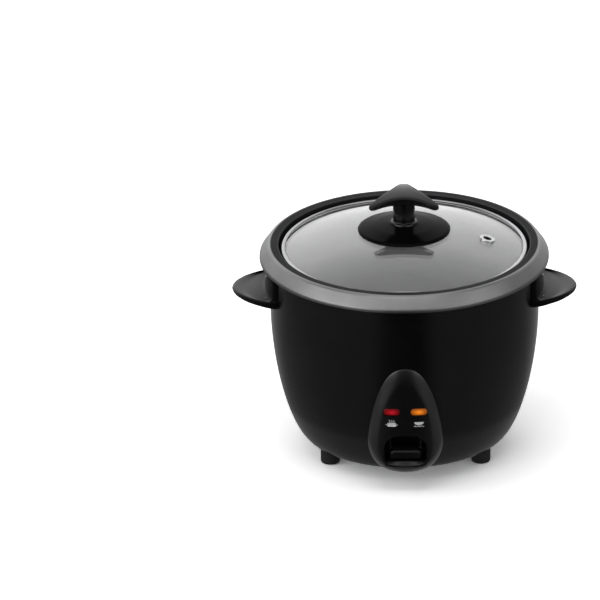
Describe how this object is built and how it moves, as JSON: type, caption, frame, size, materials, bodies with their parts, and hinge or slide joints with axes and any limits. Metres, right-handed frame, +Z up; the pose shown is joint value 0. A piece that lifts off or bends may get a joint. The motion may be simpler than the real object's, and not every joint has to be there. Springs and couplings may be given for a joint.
{
  "type": "rice cooker",
  "caption": "Drum-type rice cooker: black steel shell on feet, lift-out inner pot with a wide rim, domed glass lid with a lobed knob, side handles and a cook/warm key that tilts.",
  "frame": {"origin": "on the table under the drum's axis, level with the soles of the feet", "axes": "+X to the right handle, +Y to the back (the control housing is on -Y), +Z up along the drum's axis"},
  "size_m": [0.231, 0.194, 0.1835],
  "materials": {
    "shell_paint": "satin black paint",
    "pot_metal": "satin, fine turned grain",
    "lid_glass": "clear tempered glass",
    "lid_steel": "polished steel",
    "black_plastic": "fine satin",
    "gloss_black": "semi gloss",
    "foot_rubber": "matt",
    "cast_aluminium": "as cast, turned top",
    "sheet_steel": "zinc plated",
    "spring_steel": "bright",
    "brass": "plain",
    "magnet_iron": "sintered",
    "red_lens": "translucent",
    "amber_lens": "translucent",
    "neon_glass": "clear",
    "circuit_board": "laminate",
    "plunger_red": "plain",
    "silicone": "matt",
    "fuse_white": "glazed sleeve",
    "wire_sleeve": "silicone sleeve"
  },
  "bodies": {
    "base": {"outer_shell": "shell_paint", "base_plate": "sheet_steel", "foot_front_left": "foot_rubber", "foot_front_right": "foot_rubber", "foot_rear_left": "foot_rubber", "foot_rear_right": "foot_rubber", "foot_screws": "spring_steel", "handle_left": "black_plastic", "handle_right": "black_plastic", "handle_screws": "spring_steel", "control_housing": "black_plastic", "housing_screws": "spring_steel", "cook_lamp_lens": "red_lens", "warm_lamp_lens": "amber_lens", "cook_neon_lamp": "neon_glass", "warm_neon_lamp": "neon_glass", "lamp_board": "circuit_board", "heating_plate": "cast_aluminium", "heating_element": "sheet_steel", "heat_shield": "sheet_steel", "plate_posts": "spring_steel", "plate_screws": "spring_steel", "thermostat_guide": "brass", "sensor_spring": "spring_steel", "switch_bracket": "sheet_steel", "pivot_pin": "spring_steel", "microswitch": "gloss_black", "thermal_fuse": "fuse_white", "inlet_housing": "black_plastic", "inlet_pins": "brass", "inlet_screws": "spring_steel", "wiring": "wire_sleeve"},
    "pot": {"inner_pot": "pot_metal", "pot_rim": "pot_metal"},
    "lid": {"lid_glass": "lid_glass", "lid_rim": "lid_steel", "vent_grommet": "lid_steel", "knob_base": "gloss_black", "knob_grip": "gloss_black", "knob_screw": "spring_steel", "knob_washer": "silicone"},
    "sensor": {"sensor_cap": "cast_aluminium", "sensor_ferrite": "magnet_iron", "sensor_tube": "sheet_steel", "magnet_spring": "spring_steel"},
    "magnet_carrier": {"magnet": "magnet_iron", "magnet_rod": "spring_steel"},
    "lever": {"switch_lever": "sheet_steel", "cook_key": "gloss_black"},
    "plunger": {"switch_plunger": "plunger_red"}
  },
  "joints": [
    {"name": "pot_lift", "type": "slide", "parent": "base", "child": "pot", "axis": [0, 0, 1], "range_m": [0, 0.15]},
    {"name": "lid_lift", "type": "slide", "parent": "pot", "child": "lid", "axis": [0, 0, 1], "range_m": [0, 0.12]},
    {"name": "lever_tilt", "type": "hinge", "parent": "base", "child": "lever", "pos_m": [0, -0.032, 0.03], "axis": [-1, 0, 0], "range_deg": [0, 8]},
    {"name": "sensor_press", "type": "slide", "parent": "base", "child": "sensor", "axis": [0, 0, 1], "range_m": [-0.0015, 0], "stiffness_N_per_m": 300, "springref_m": 0.007, "deforming": ["sensor_spring"]},
    {"name": "magnet_drop", "type": "slide", "parent": "sensor", "child": "magnet_carrier", "axis": [0, 0, -1], "range_m": [0, 0.0046], "deforming": ["magnet_spring"]},
    {"name": "plunger_press", "type": "slide", "parent": "base", "child": "plunger", "axis": [0, 0, -1], "range_m": [0, 0.0018]}
  ],
  "couplings": [
    {"joint": "magnet_drop", "follows": "lever_tilt", "m_per_rad": 0.032},
    {"joint": "plunger_press", "follows": "lever_tilt", "m_per_rad": 0.0125}
  ]
}
